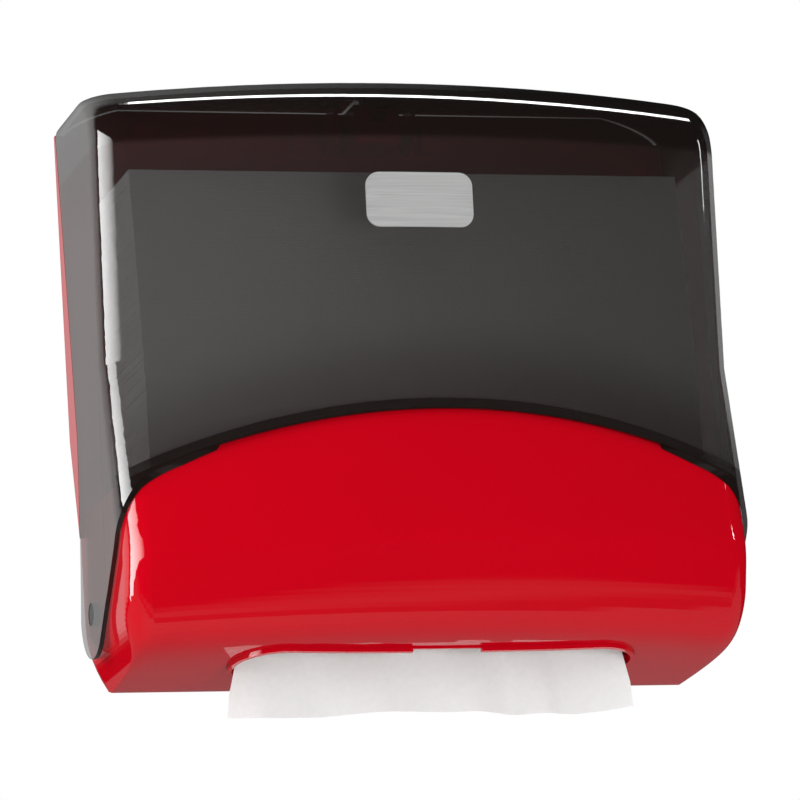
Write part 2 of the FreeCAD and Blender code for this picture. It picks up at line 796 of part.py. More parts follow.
node(screw_spots("tray_screws_group", TRAY_SPOTS, "shell_wall + flange_wall"), "tray_screws")


# Guides: upright plates on the tray with a screwed foot that points outward.
def make_guide(name, side):
    body = start_body(name + "_body")
    wall = sketch_on(body, name + "_wall", "XY_Plane")
    near = "%d * (stack_half + seat_gap)" % side
    far = "%d * (stack_half + seat_gap + guide_wall)" % side
    end = "%d * (stack_half + seat_gap + guide_wall + guide_foot)" % side
    left, right = (near, far) if side > 0 else (far, near)
    rectangle(wall, left, right, "-guide_front", "-stack_back")
    pad(body, wall, "guide_height", name + "_wall_pad")
    foot = sketch_on(body, name + "_foot", "XY_Plane")
    left, right = (near, end) if side > 0 else (end, near)
    rectangle(foot, left, right, "-guide_front", "-stack_back")
    pad(body, foot, "guide_wall", name + "_foot_pad")
    bores = sketch_on(body, name + "_bores", "XY_Plane")
    for depth in GUIDE_SCREWS:
        circle(bores, "%d * %s" % (side, FOOT_X), "-" + depth, "screw_radius + fit_gap")
    pocket(body, bores, "guide_wall + 1", name + "_bore_pocket")
    return seat_body(body, name, "0", "0", "tray_rise + tray_wall")


make_guide("guide_left", -1)
make_guide("guide_right", 1)
guide_screws = []
for i, (side, depth) in enumerate([(a, b) for a in (-1, 1) for b in GUIDE_SCREWS]):
    spot = "%d * %s" % (side, FOOT_X)
    seat = "tray_rise + tray_wall + guide_wall"
    shank = rod("guide_shank_%d" % i, "z", "screw_radius", spot, depth, "tray_rise + screw_skin",
                "tray_wall + guide_wall - screw_skin + screw_root")
    head = rod("guide_head_%d" % i, "z", "screw_head", spot, depth, seat, "screw_head_height")
    guide_screws.append(fuse("guide_screw_%d" % i, [shank, head]))
guide_group = doc.addObject("Part::Compound", "guide_screws_group")
guide_group.Links = guide_screws
node(guide_group, "guide_screws")


# Hinge pins: a flange inside the chin's side and a journal through the cover's leg.
def make_pin(name, side):
    body = start_body(name + "_body")
    profile = sketch_on(body, name + "_profile", "XY_Plane")
    length = "2 * shell_wall + side_gap + pin_play - pin_recess"
    corners = [("-pin_flange_wall", "0"), ("%s" % length, "0"), ("%s" % length, "pin_radius"),
               ("0", "pin_radius"), ("0", "pin_flange"), ("-pin_flange_wall", "pin_flange")]
    outline(profile, corners, [(value_of(x), value_of(y)) for x, y in corners])
    turn = body.newObject("PartDesign::Revolution", name + "_turn")
    turn.Profile = profile
    turn.ReferenceAxis = (profile, ["H_Axis"])
    turn.Angle = 360
    if side < 0:
        body.Placement = FreeCAD.Placement(V(0, 0, 0), FreeCAD.Rotation(V(0, 0, 1), 180))
    return seat_body(body, name, "%d * (base_side - shell_wall - pin_play)" % side, "pivot_depth", "pivot_rise")


make_pin("hinge_pin_left", -1)
make_pin("hinge_pin_right", 1)

# Lock: block on the plate with the button's well, open below, and a slot for the tongue in front.
housing_block = box("housing_block", "-lock_half", "lock_half", "shell_wall", "lock_depth",
                    "lock_bottom", "lock_top")
housing_ears = box("housing_ears", "-lock_half - lock_ear", "lock_half + lock_ear", "shell_wall",
                   "shell_wall + flange_wall", "lock_bottom + lock_ear_inset", "lock_top - lock_ear_inset")
housing_well = box("housing_well", "-button_half - button_gap", "button_half + button_gap",
                   "button_back - button_gap", "button_front + button_gap", "lock_bottom - 1", "lock_top + 1")
housing_slot = box("housing_slot", "-tongue_half - tongue_gap", "tongue_half + tongue_gap", "button_front - 1",
                   "lock_depth + 1", "tongue_top - tongue_wall - button_travel - tongue_gap",
                   "tongue_top + tongue_gap")
node(cut("housing_cut", fuse("housing_body", [housing_block, housing_ears]),
         fuse("housing_tools", [housing_well, housing_slot, screw_holes("housing_holes", LOCK_SPOTS)])),
     "lock_housing")
node(screw_spots("lock_screws_group", LOCK_SPOTS, "shell_wall + flange_wall"), "lock_screws")

cap = start_body("cap_body")
cap_plan = sketch_on(cap, "cap_plan", "XY_Plane")
rectangle(cap_plan, "-lock_half", "lock_half", "-lock_depth", "-shell_wall")
pad(cap, cap_plan, "cap_wall", "cap_pad")
seat_body(cap, "lock_cap", "0", "0", "lock_bottom - cap_wall")

button_block = box("button_block", "-button_half", "button_half", "button_back", "button_front",
                   "button_bottom", "body_height + button_proud")
button_slot = box("button_slot", "-tongue_half", "tongue_half", "button_back + tongue_root", "button_front + 1",
                  "tongue_top - tongue_wall", "tongue_top")
node(cut("button_cut", button_block, button_slot), "release_button")
tongue_blank = box("tongue_blank", "-tongue_half", "tongue_half", "button_back + tongue_root", "tongue_front",
                   "tongue_top - tongue_wall", "tongue_top")
tongue_bevel = box("tongue_bevel", "-tongue_half - 1", "tongue_half + 1", "tongue_front - tongue_edge",
                   "tongue_front + 1", "tongue_top - tongue_edge", "tongue_top + 1")
node(cut("tongue_cut", tongue_blank, tongue_bevel), "latch_tongue")


# Coil between the cap and the button, in quarter turns.
def make_spring():
    radius, wire = S("spring_radius"), S("spring_wire") / 2
    low = S("lock_bottom") + wire + S("seat_gap")
    high = S("button_bottom") - wire - S("seat_gap")
    turns = S("spring_turns")
    depth = (S("button_back") + S("button_front")) / 2
    quarters = int(round(turns * 4))

    def at(k):
        a = math.pi / 2 * k
        return V(radius * math.cos(a), -depth + radius * math.sin(a), low + (high - low) * k / quarters)

    path = Part.Wire([Part.Arc(at(k), at(k + 0.5), at(k + 1)).toShape() for k in range(quarters)])
    start = path.Edges[0]
    ring = Part.Wire([Part.Circle(at(0), start.tangentAt(start.FirstParameter), wire).toShape()])
    return path.makePipeShell([ring], True, False)


node(raw("spring_shape", make_spring()), "latch_spring")


# Strike: block under the cover's top with a pocket over the tongue.
def make_strike():
    half, ear = S("strike_half"), S("strike_ear")
    back, front = S("strike_back"), S("strike_front")
    top = S("body_height")
    low = S("tongue_top") + S("strike_gap")
    roof = top - S("shell_wall")
    block = Part.makeBox(2 * half, front - back, top - low, V(-half, -front, low))
    wing_low = roof - S("flange_wall")
    wings = Part.makeBox(2 * (half + ear), front - back, top - wing_low, V(-half - ear, -front, wing_low))
    room = S("tongue_half") + S("strike_room")
    deep = S("tongue_front") - back
    hollow = Part.makeBox(2 * room, deep, S("strike_pocket"), V(-room, -S("tongue_front") - 2, low))
    bores = []
    for side in (-1, 1):
        spot = V(side * (half + ear / 2), -(back + front) / 2, low - 5)
        bores.append(Part.makeCylinder(S("screw_radius") + S("fit_gap"), 40, spot))
    return block.fuse(wings).common(upper_envelope(S("shell_wall") + 0.02, -5.0)).cut([hollow] + bores)


node(raw("strike_shape", make_strike()), "strike_block")
strike_screws = []
for i, side in enumerate((-1, 1)):
    spot = "%d * (strike_half + strike_ear / 2)" % side
    middle = "(strike_back + strike_front) / 2"
    seat = "body_height - shell_wall - flange_wall"
    head = rod("strike_head_%d" % i, "z", "screw_head", spot, middle, seat + " - screw_head_height",
               "screw_head_height")
    shank = rod("strike_shank_%d" % i, "z", "screw_radius", spot, middle, seat + " - screw_root",
                "flange_wall + shell_wall - 2 * screw_skin")
    strike_screws.append(fuse("strike_screw_%d" % i, [head, shank]))
strike_group = doc.addObject("Part::Compound", "strike_screws_group")
strike_group.Links = strike_screws
node(strike_group, "strike_screws")


# Badge: plain curved plate on the face of the cover.
def face_slab(inset):
    low = 150.0
    first = plan(low, S("body_width") / 2, face_line(low), S("face_bow"), S("face_corner"), inset, 0.0)
    return skin([first, roll_section(math.radians(-2), inset, 0.0)], True)


def make_badge():
    half, tall = S("badge_half"), S("badge_height")
    block = Part.makeBox(2 * half, 120, tall, V(S("badge_at") - half, -200, S("badge_rise") - tall / 2))
    upright = [e for e in block.Edges if abs(e.tangentAt(e.FirstParameter).y) > 0.9]
    block = block.makeFillet(min(S("badge_corner"), half - 0.5, tall / 2 - 0.5), upright)
    return block.common(face_slab(-S("fit_gap") - S("badge_wall"))).cut(face_slab(-S("fit_gap")))


node(raw("badge_shape", make_badge()), "badge_plate")


# Pile of folded wipers: flat top, front that leans back towards the top.
def make_stack():
    half = S("stack_half")
    low = S("tray_rise") + S("tray_wall") + S("seat_gap")
    high = S("stack_top")

    def p(depth, rise):
        return side_point(half, depth, rise)

    foot, head = p(S("stack_foot_depth"), low), p(S("stack_top_depth"), high)
    belly = p(S("stack_belly_depth"), low + (high - low) * 0.35)
    edges = [
        Part.makeLine(p(S("stack_back"), low), foot),
        Part.Arc(foot, belly, head).toShape(),
        Part.makeLine(head, p(S("stack_back"), high)),
        Part.makeLine(p(S("stack_back"), high), p(S("stack_back"), low)),
    ]
    return side_prism(edges, half)


node(raw("stack_shape", make_stack()), "wiper_stack")

# Wiper that hangs through the slot and the mouth: uneven upright folds that deepen downward.
FOLDS = ((0.17, 0.5), (0.13, -0.7), (0.15, 0.45), (0.12, -0.5),
         (0.1, 0.8), (0.07, -1.0), (0.08, 0.9), (0.18, -0.6))


def fold_section(rise, half, deep):
    total = sum(f[0] for f in FOLDS)
    rows = []
    for shift in (S("sheet_wall") / 2, -S("sheet_wall") / 2):
        x = -half
        arcs = []
        for share, swing in FOLDS:
            wide = 2 * half * share / total
            y = -S("sheet_depth") + shift
            arcs.append(((x, y), (x + wide / 2, y - deep * swing), (x + wide, y)))
            x += wide
        rows.append(arcs)

    def p(spot):
        return V(spot[0], spot[1], rise)

    back = [Part.Arc(p(a), p(b), p(c)).toShape() for a, b, c in rows[0]]
    front = [Part.Arc(p(c), p(b), p(a)).toShape() for a, b, c in reversed(rows[1])]
    right = Part.makeLine(p(rows[0][-1][2]), p(rows[1][-1][2]))
    left = Part.makeLine(p(rows[1][0][0]), p(rows[0][0][0]))
    return Part.Wire(back + [right] + front + [left])


def make_sheet():
    high = S("tray_rise") + S("tray_wall")
    low = -S("sheet_drop")
    wires = []
    for share in (0.0, 0.2, 0.4, 0.6, 0.8, 1.0):
        half = S("sheet_half") + S("sheet_flare") * max(0.0, share - 0.5) * 2
        deep = S("fold_still") + S("sheet_fold") * share ** 2
        wires.append(fold_section(high + (low - high) * share, half, deep))
    return skin(wires)


node(raw("sheet_shape", make_sheet()), "wiper_sheet")

doc.recompute()
bad = [o.Name for o in doc.Objects if "Invalid" in o.State or "Error" in o.State]
if bad:
    raise RuntimeError("failed objects: " + ", ".join(bad))
for obj in NODES:
    shape = obj.Shape
    if shape.isNull() or not shape.isValid():
        raise RuntimeError("bad shape: " + obj.Label)
    box_ = shape.optimalBoundingBox() if hasattr(shape, "optimalBoundingBox") else shape.BoundBox
    print(obj.Label, len(shape.Solids), round(shape.Volume), box_)
    shape.exportStep("parts/%s.step" % obj.Label)
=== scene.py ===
import bmesh
import bpy
import math
import random
from mathutils import Matrix, Vector


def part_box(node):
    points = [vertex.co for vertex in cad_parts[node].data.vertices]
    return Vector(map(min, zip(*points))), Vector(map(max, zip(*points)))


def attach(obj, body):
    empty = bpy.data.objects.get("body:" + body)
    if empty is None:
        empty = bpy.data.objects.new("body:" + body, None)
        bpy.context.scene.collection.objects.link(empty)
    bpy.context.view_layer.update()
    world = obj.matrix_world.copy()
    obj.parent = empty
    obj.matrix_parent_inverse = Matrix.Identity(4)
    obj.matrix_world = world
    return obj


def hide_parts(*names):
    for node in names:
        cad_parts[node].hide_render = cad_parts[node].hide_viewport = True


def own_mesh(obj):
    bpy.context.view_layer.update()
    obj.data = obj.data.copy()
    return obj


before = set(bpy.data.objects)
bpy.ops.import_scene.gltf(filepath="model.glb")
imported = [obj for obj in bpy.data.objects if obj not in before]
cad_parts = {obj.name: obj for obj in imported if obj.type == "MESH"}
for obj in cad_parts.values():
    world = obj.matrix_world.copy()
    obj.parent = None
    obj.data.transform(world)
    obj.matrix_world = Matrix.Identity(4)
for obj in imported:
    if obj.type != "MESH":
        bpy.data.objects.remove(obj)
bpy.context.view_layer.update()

# The room: the dispenser is shown by itself over a plain pale floor, with a white surround.
# It is lit as for a catalogue, by a tall soft box at the left, a long one overhead, a slim one at
# the right and a weak fill in front. The camera looks up at it from a little to the left.
scene = bpy.context.scene
scene.view_settings.view_transform = "Standard"

picture_width, focal_pixels, sensor_width = 800, 5518.7, 36.0
camera_distance = 3.5979
azimuth, elevation, roll = (math.radians(angle) for angle in (-17.0, -12.8, 3.8))
look_at = Vector((-0.0129, -0.090, -0.0246))
towards_camera = Vector((
    math.sin(azimuth) * math.cos(elevation),
    -math.cos(azimuth) * math.cos(elevation),
    math.sin(elevation),
))
camera_data = bpy.data.cameras.new("camera")
camera = bpy.data.objects.new("camera", camera_data)
scene.collection.objects.link(camera)
camera_data.sensor_width = sensor_width
camera_data.lens = focal_pixels / picture_width * sensor_width
camera_data.clip_end = 50.0
facing = (-towards_camera).to_track_quat("-Z", "Y").to_matrix().to_4x4()
camera.matrix_world = (
    Matrix.Translation(look_at + camera_distance * towards_camera)
    @ facing @ Matrix.Rotation(-roll, 4, "Z")
)
scene.camera = camera


def blank_finish(name):
    finish = bpy.data.materials.new(name)
    finish.use_nodes = True
    return finish, finish.node_tree, finish.node_tree.nodes["Principled BSDF"]


def place_on(tree):
    return tree.nodes.new("ShaderNodeTexCoord").outputs["Object"]


def split(tree, vector):
    parts = tree.nodes.new("ShaderNodeSeparateXYZ")
    tree.links.new(vector, parts.inputs["Vector"])
    return parts.outputs


def feed(tree, value, socket):
    if hasattr(value, "links"):
        tree.links.new(value, socket)
    else:
        socket.default_value = value


def reckon(tree, kind, *values):
    step = tree.nodes.new("ShaderNodeMath")
    step.operation = kind
    for place, value in enumerate(values):
        feed(tree, value, step.inputs[place])
    return step.outputs["Value"]


def fade(tree, value, low, high, start, end):
    step = tree.nodes.new("ShaderNodeMapRange")
    step.interpolation_type = "SMOOTHSTEP"
    for name, number in (("From Min", low), ("From Max", high), ("To Min", start), ("To Max", end)):
        step.inputs[name].default_value = number
    tree.links.new(value, step.inputs["Value"])
    return step.outputs["Result"]


floor_level, floor_half = -1.05, 8.0
floor_tint, floor_roughness = (0.84, 0.84, 0.83, 1), 0.8
floor_mesh = bmesh.new()
bmesh.ops.create_grid(floor_mesh, x_segments=1, y_segments=1, size=floor_half)
bmesh.ops.translate(floor_mesh, verts=floor_mesh.verts, vec=(0, 0, floor_level))
floor_data = bpy.data.meshes.new("floor")
floor_mesh.to_mesh(floor_data)
floor_mesh.free()
floor = bpy.data.objects.new("floor", floor_data)
scene.collection.objects.link(floor)
floor_paint, floor_tree, floor_surface = blank_finish("floor_paint")
floor_surface.inputs["Roughness"].default_value = floor_roughness
# Painted reflection: gloss rays see the floor painted dark, with a soft pale strip in front and a
# paler end towards the wall, which the glossy parts show as reflected bands.
reflection_strips_start, reflection_strips_end = -1.60, -1.00
reflection_strips = ((0.21, 0.0), (0.45, 0.17), (0.59, 0.05), (0.79, 0.05), (0.84, 0.25))
floor_place = split(floor_tree, place_on(floor_tree))
floor_reach = floor_tree.nodes.new("ShaderNodeMapRange")
floor_reach.inputs["From Min"].default_value = reflection_strips_start
floor_reach.inputs["From Max"].default_value = reflection_strips_end
floor_tree.links.new(floor_place["Y"], floor_reach.inputs["Value"])
floor_reflection_strips = floor_tree.nodes.new("ShaderNodeValToRGB")
stops = floor_reflection_strips.color_ramp.elements
stops[0].position, stops[1].position = reflection_strips[0][0], reflection_strips[-1][0]
for place, level in reflection_strips[1:-1]:
    stops.new(place)
for stop, (place, level) in zip(stops, reflection_strips):
    stop.color = (level, level, level, 1)
floor_tree.links.new(floor_reach.outputs["Result"], floor_reflection_strips.inputs["Fac"])
floor_rays = floor_tree.nodes.new("ShaderNodeLightPath")
floor_tint_and_reflection = floor_tree.nodes.new("ShaderNodeMix")
floor_tint_and_reflection.data_type = "RGBA"
floor_tint_and_reflection.inputs["A"].default_value = floor_tint
floor_tree.links.new(floor_reflection_strips.outputs["Color"], floor_tint_and_reflection.inputs["B"])
floor_tree.links.new(floor_rays.outputs["Is Glossy Ray"], floor_tint_and_reflection.inputs["Factor"])
floor_tree.links.new(floor_tint_and_reflection.outputs["Result"], floor_surface.inputs["Base Color"])
floor_data.materials.append(floor_paint)

white_surround, soft_light, dark_room, backdrop = 1.0, 0.64, 0.006, 0.68
backdrop_begins, backdrop_full = 0.34, 0.56
horizon_low, horizon_high = -0.04, 0.06
left_full, left_ends = -0.60, 0.36
world = bpy.data.worlds.new("studio")
world.use_nodes = True
scene.world = world
sky = world.node_tree
sky.nodes.clear()
sky_out = sky.nodes.new("ShaderNodeOutputWorld")
sky_rays = sky.nodes.new("ShaderNodeLightPath").outputs
sky_where = sky.nodes.new("ShaderNodeTexCoord")
sky_side = split(sky, sky_where.outputs["Generated"])


def sky_light(strength):
    light = sky.nodes.new("ShaderNodeBackground")
    light.inputs["Color"].default_value = (1, 1, 1, 1)
    feed(sky, strength, light.inputs["Strength"])
    return light.outputs["Background"]


def sky_mixed(ray, first, second):
    mix = sky.nodes.new("ShaderNodeMixShader")
    for socket, value in zip(mix.inputs, (ray, first, second)):
        sky.links.new(value, socket)
    return mix.outputs["Shader"]


# What gloss sees: a dark room in front and at the right, and a pale backdrop behind at the left.
sky_behind = fade(sky, sky_side["Y"], backdrop_begins, backdrop_full, 0.0, backdrop)
sky_above = fade(sky, sky_side["Z"], horizon_low, horizon_high, 0.0, 1.0)
sky_left = fade(sky, sky_side["X"], left_full, left_ends, 1.0, 0.0)
sky_backdrop = reckon(sky, "MULTIPLY", sky_behind, sky_above)
sky_shine = sky_light(reckon(sky, "MULTIPLY_ADD", sky_backdrop, sky_left, dark_room))
sky_seen = sky_mixed(sky_rays["Is Glossy Ray"], sky_light(soft_light), sky_shine)
sky_direct = reckon(sky, "MAXIMUM", sky_rays["Is Camera Ray"], sky_rays["Is Transmission Ray"])
sky_all = sky_mixed(sky_direct, sky_seen, sky_light(white_surround))
sky.links.new(sky_all, sky_out.inputs["Surface"])


def soft_box(name, place, aim, size, power, spin=0.0, spread=180.0):
    lamp_data = bpy.data.lights.new(name, "AREA")
    lamp_data.shape = "RECTANGLE"
    lamp_data.size, lamp_data.size_y = size
    lamp_data.energy = power
    lamp_data.spread = math.radians(spread)
    lamp = bpy.data.objects.new(name, lamp_data)
    scene.collection.objects.link(lamp)
    turn = (Vector(aim) - Vector(place)).to_track_quat("-Z", "Y").to_matrix().to_4x4()
    spun = Matrix.Rotation(math.radians(spin), 4, "Z")
    lamp.matrix_world = Matrix.Translation(place) @ turn @ spun
    return lamp


# The left box looks past the cover's corner, so its shine fades towards the front of the cover.
soft_box("box_left", place=(-2.51, -1.035, 0.375), aim=(-1.56, -1.344, 0.375),
         size=(3.2, 1.45), power=40, spread=110)
soft_box("box_top", place=(0.90, 0.70, 2.35), aim=(0.90, 0.70, 0),
         size=(1.73, 0.27), power=11.5, spin=-14)
soft_box("box_right", place=(2.53, -1.01, 1.02), aim=(0.2, -0.115, 1.02),
         size=(0.11, 0.95), power=3.2)
fill = soft_box("box_fill", place=(0.45, -2.4, -0.70), aim=(0, -0.1, -0.15),
                size=(1.2, 0.5), power=2.4, spread=60)
fill.visible_glossy = False

# Back shell: the plate on the wall, one moulding in red plastic, held by four wall screws.
# Its rim shows as a thin strip beside the cover, and ribs, tabs and a boss stand inside it.
# Moulded plastic has a very fine orange-peel relief and a faint cloudiness, which is its grain.


def noise(tree, where, scale, detail=2.0):
    cloud = tree.nodes.new("ShaderNodeTexNoise")
    cloud.inputs["Scale"].default_value = scale
    cloud.inputs["Detail"].default_value = detail
    tree.links.new(where, cloud.inputs["Vector"])
    return cloud.outputs["Fac"]


peel_depth = 0.0004
grain = bpy.data.node_groups.new("moulded grain", "ShaderNodeTree")
for name, kind, value in (
    ("Colour", "NodeSocketColor", (0.5, 0.5, 0.5, 1)),
    ("Shade", "NodeSocketFloat", 0.06),
    ("Roughness", "NodeSocketFloat", 0.2),
    ("Relief", "NodeSocketFloat", 0.05),
):
    socket = grain.interface.new_socket(name, in_out="INPUT", socket_type=kind)
    socket.default_value = value
for name, kind in (
    ("Colour", "NodeSocketColor"),
    ("Roughness", "NodeSocketFloat"),
    ("Normal", "NodeSocketVector"),
):
    grain.interface.new_socket(name, in_out="OUTPUT", socket_type=kind)
grain_in = grain.nodes.new("NodeGroupInput").outputs
grain_out = grain.nodes.new("NodeGroupOutput").inputs
grain_where = place_on(grain)
grain_cloud = noise(grain, grain_where, scale=14, detail=3)
grain_peel = noise(grain, grain_where, scale=420)
grain_level = reckon(grain, "SUBTRACT", grain_cloud, 0.5)
grain_amount = reckon(grain, "MULTIPLY_ADD", grain_level, grain_in["Shade"], 1.0)
grain_tint = grain.nodes.new("ShaderNodeHueSaturation")
grain.links.new(grain_in["Colour"], grain_tint.inputs["Color"])
grain.links.new(grain_amount, grain_tint.inputs["Value"])
grain_bump = grain.nodes.new("ShaderNodeBump")
grain_bump.inputs["Distance"].default_value = peel_depth
grain.links.new(grain_in["Relief"], grain_bump.inputs["Strength"])
grain.links.new(grain_peel, grain_bump.inputs["Height"])
grain_rough = reckon(grain, "MULTIPLY", grain_in["Roughness"], grain_amount)
grain.links.new(grain_tint.outputs["Color"], grain_out["Colour"])
grain.links.new(grain_rough, grain_out["Roughness"])
grain.links.new(grain_bump.outputs["Normal"], grain_out["Normal"])


def moulded(name, colour, roughness, shade=0.06, relief=0.05, coat=None):
    finish, tree, surface = blank_finish(name)
    skin = tree.nodes.new("ShaderNodeGroup")
    skin.node_tree = grain
    skin.inputs["Colour"].default_value = (*colour, 1)
    skin.inputs["Shade"].default_value = shade
    skin.inputs["Roughness"].default_value = roughness
    skin.inputs["Relief"].default_value = relief
    tree.links.new(skin.outputs["Colour"], surface.inputs["Base Color"])
    tree.links.new(skin.outputs["Roughness"], surface.inputs["Roughness"])
    tree.links.new(skin.outputs["Normal"], surface.inputs["Normal"])
    if coat:
        coat_ior, coat_roughness = coat
        surface.inputs["Coat Weight"].default_value = 1.0
        surface.inputs["Coat IOR"].default_value = coat_ior
        surface.inputs["Coat Roughness"].default_value = coat_roughness
    return finish


def dress(finish, *nodes):
    for node in nodes:
        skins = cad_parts[node].data.materials
        skins.clear()
        skins.append(finish)


red_satin = moulded("red satin", (0.56, 0.001, 0.009), 0.3, coat=(1.7, 0.12))
dress(red_satin, "back_shell")

# Lock: a red housing screwed to the back shell, closed below by its cap, with a black button.
# The button comes up through the cover's notch. The black strike is screwed under the cover's top.
black_satin = moulded("black satin", (0.012, 0.012, 0.013), 0.42, shade=0.1, relief=0.12)
dress(red_satin, "lock_housing", "lock_cap")
dress(black_satin, "release_button", "strike_block")

# Tongue and spring: a flat steel tongue carried in the button, and a coil of spring wire below it.
# Both are zinc-plated and finely brushed. The coil is given a mesh of its own.
steel_smoothest, steel_roughest = 0.25, 0.45


def two_tones(tree, level, dark, light):
    tone = tree.nodes.new("ShaderNodeValToRGB")
    tone.color_ramp.elements[0].color = (*dark, 1)
    tone.color_ramp.elements[1].color = (*light, 1)
    tree.links.new(level, tone.inputs["Fac"])
    return tone.outputs["Color"]


steel, steel_tree, steel_surface = blank_finish("plated steel")
steel_surface.inputs["Metallic"].default_value = 1.0
steel_streak = noise(steel_tree, place_on(steel_tree), scale=900)
steel_tone = two_tones(steel_tree, steel_streak, (0.42, 0.43, 0.44), (0.66, 0.66, 0.65))
steel_rough = steel_tree.nodes.new("ShaderNodeMapRange")
steel_rough.inputs["To Min"].default_value = steel_smoothest
steel_rough.inputs["To Max"].default_value = steel_roughest
steel_tree.links.new(steel_streak, steel_rough.inputs["Value"])
steel_tree.links.new(steel_tone, steel_surface.inputs["Base Color"])
steel_tree.links.new(steel_rough.outputs["Result"], steel_surface.inputs["Roughness"])
dress(steel, "latch_tongue", "latch_spring")

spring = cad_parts["latch_spring"]
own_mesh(spring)

# Tray and guides: matt black mouldings. The tray is screwed to the back shell and carries the pile,
# and the two upright guides are screwed to the tray and keep the pile square.
dress(black_satin, "stack_tray", "guide_left", "guide_right")

# Chin: one glossy red moulding with the swelling lower front, the nearly flat underside and the
# mouth, screwed to the back shell by its ears. The liner is a rolled lip in the mouth's edge.
red_gloss = moulded("red gloss", (0.58, 0.0008, 0.009), 0.3, coat=(1.8, 0.03))
red_gloss.node_tree.nodes["Principled BSDF"].inputs["Specular IOR Level"].default_value = 0.0
dress(red_gloss, "chin_shell", "mouth_liner")

# Hinge pins: dark plastic journals with a flange inside the chin's sides.
# They go through the cover's legs, where they show through the smoke.
pin_black = moulded("pin black", (0.02, 0.02, 0.022), 0.3)
dress(pin_black, "hinge_pin_left", "hinge_pin_right")

# Screws: small zinc-plated steel screws, as finely brushed as the tongue.
# They hold the chin, the tray, the guides, the lock and the strike.
dress(steel, "chin_screws", "tray_screws", "guide_screws", "lock_screws", "strike_screws")

# Cover: one moulding in clear smoke plastic, thin on the face, with painted shade that darkens it
# in the roll, in a band along its lower edge, which curves like a smile, and towards the right; it
# is also denser towards the smile. It has two legs that turn on the hinge pins.
face_density, right_shade_density, lower_density = 0.74, 0.07, 0.09
roll_shade_density, crown_shade_density = 0.16, 0.05
shade_band_density, rim_density, graze_density = 0.96, 0.97, 0.20
shade_and_edges_plastic, face_plastic = (0.010, 0.007, 0.006, 1), (0.030, 0.025, 0.024, 1)
cover_left, cover_right, leg_inside = -0.20, 0.22, 0.2100
front_y, corner_y = -0.112, -0.100
crease_low, crease_high = 0.1365, 0.1420
crown_low, crown_high = 0.150, 0.168
origin_rise, smile_rise, smile_radius = 0.200, 0.1554, 0.552
smile_centre = smile_rise - origin_rise - smile_radius
shade_band_width, shade_band_end = 0.0070, 0.0085
lower_start, lower_end = 0.008, 0.070
smile_ends, legs_end = 0.05, 0.1
facing_down, facing_along = -0.35, 0.3
graze_start, graze_full = 0.25, 0.95
veil_and_shade_at_right = 0.35

smoke, smoke_tree, smoke_surface = blank_finish("smoke plastic")
for name, level in (
    ("Roughness", 0.06),
    ("Specular IOR Level", 0.6),
    ("Coat IOR", 1.7),
    ("Coat Roughness", 0.02),
):
    smoke_surface.inputs[name].default_value = level
smoke_form = smoke_tree.nodes.new("ShaderNodeNewGeometry").outputs
smoke_x, smoke_y, smoke_z = split(smoke_tree, place_on(smoke_tree))
wall_turn = split(smoke_tree, smoke_form["True Normal"])


def wall(kind, *values):
    return reckon(smoke_tree, kind, *values)


def wall_fade(value, low, high, start, end):
    return fade(smoke_tree, value, low, high, start, end)


# Density of the wall: plain on the face, a little more at the right as painted shade and a little
# more down to the smile, and most in the roll and in the band along the smile, both painted shade.
climb = wall("SUBTRACT", smoke_z, smile_centre)
reach = wall("SQRT", wall("ADD", wall("MULTIPLY", smoke_x, smoke_x),
                          wall("MULTIPLY", climb, climb)))
edge = wall("SUBTRACT", reach, smile_radius)
front = wall_fade(smoke_y, front_y, corner_y, 1.0, 0.0)
# Painted shade: a dark band just above the smile, where the shade behind the cover's lower edge
# shows through.
shade_band = wall("MULTIPLY", wall_fade(edge, shade_band_width, shade_band_end, shade_band_density, 0.0), front)
# Denser towards the smile, over the front of the cover.
lower = wall("MULTIPLY", wall_fade(edge, lower_start, lower_end, lower_density, 0.0), front)
# Painted shade: the wall grows denser towards the right, away from the left box.
right_shade = wall_fade(smoke_x, cover_left, cover_right, 0.0, right_shade_density)
# Painted shade: the roll and the crown over it are made denser, and so darker, where the cover
# turns back to the top.
roll_shade = wall_fade(smoke_z, crease_low, crease_high, 0.0, roll_shade_density)
crown_shade = wall_fade(smoke_z, crown_low, crown_high, 0.0, crown_shade_density)
plain = wall("ADD", wall("ADD", face_density, right_shade), lower)
body = wall("ADD", plain, wall("ADD", roll_shade, crown_shade))
# Cut edges of the wall: dark, because the eye looks along the wall there.
rim_low = wall("MULTIPLY", wall("LESS_THAN", wall_turn["Z"], facing_down),
               wall("LESS_THAN", smoke_z, smile_ends))
rim_side = wall("MULTIPLY", wall("GREATER_THAN", wall("ABSOLUTE", smoke_x), leg_inside),
                wall("LESS_THAN", wall("ABSOLUTE", wall_turn["X"]), facing_along))
rim_part = wall("MULTIPLY", wall("MAXIMUM", rim_low, rim_side),
                wall("LESS_THAN", smoke_z, legs_end))
rim = wall("MULTIPLY", rim_part, rim_density)
dense = wall("MAXIMUM", wall("MAXIMUM", body, shade_band), rim)
smoke_turn = smoke_tree.nodes.new("ShaderNodeLayerWeight")
graze = wall_fade(smoke_turn.outputs["Facing"], graze_start, graze_full, 0.0, graze_density)
clear = wall("MULTIPLY", wall("SUBTRACT", 1.0, dense), wall("SUBTRACT", 1.0, graze))
outside = wall("SUBTRACT", 1.0, smoke_form["Backfacing"])
cover_alpha = wall("MULTIPLY", wall("SUBTRACT", 1.0, clear), outside)
smoke_tree.links.new(cover_alpha, smoke_surface.inputs["Alpha"])
smoke_tree.links.new(wall("SUBTRACT", outside, rim), smoke_surface.inputs["Coat Weight"])
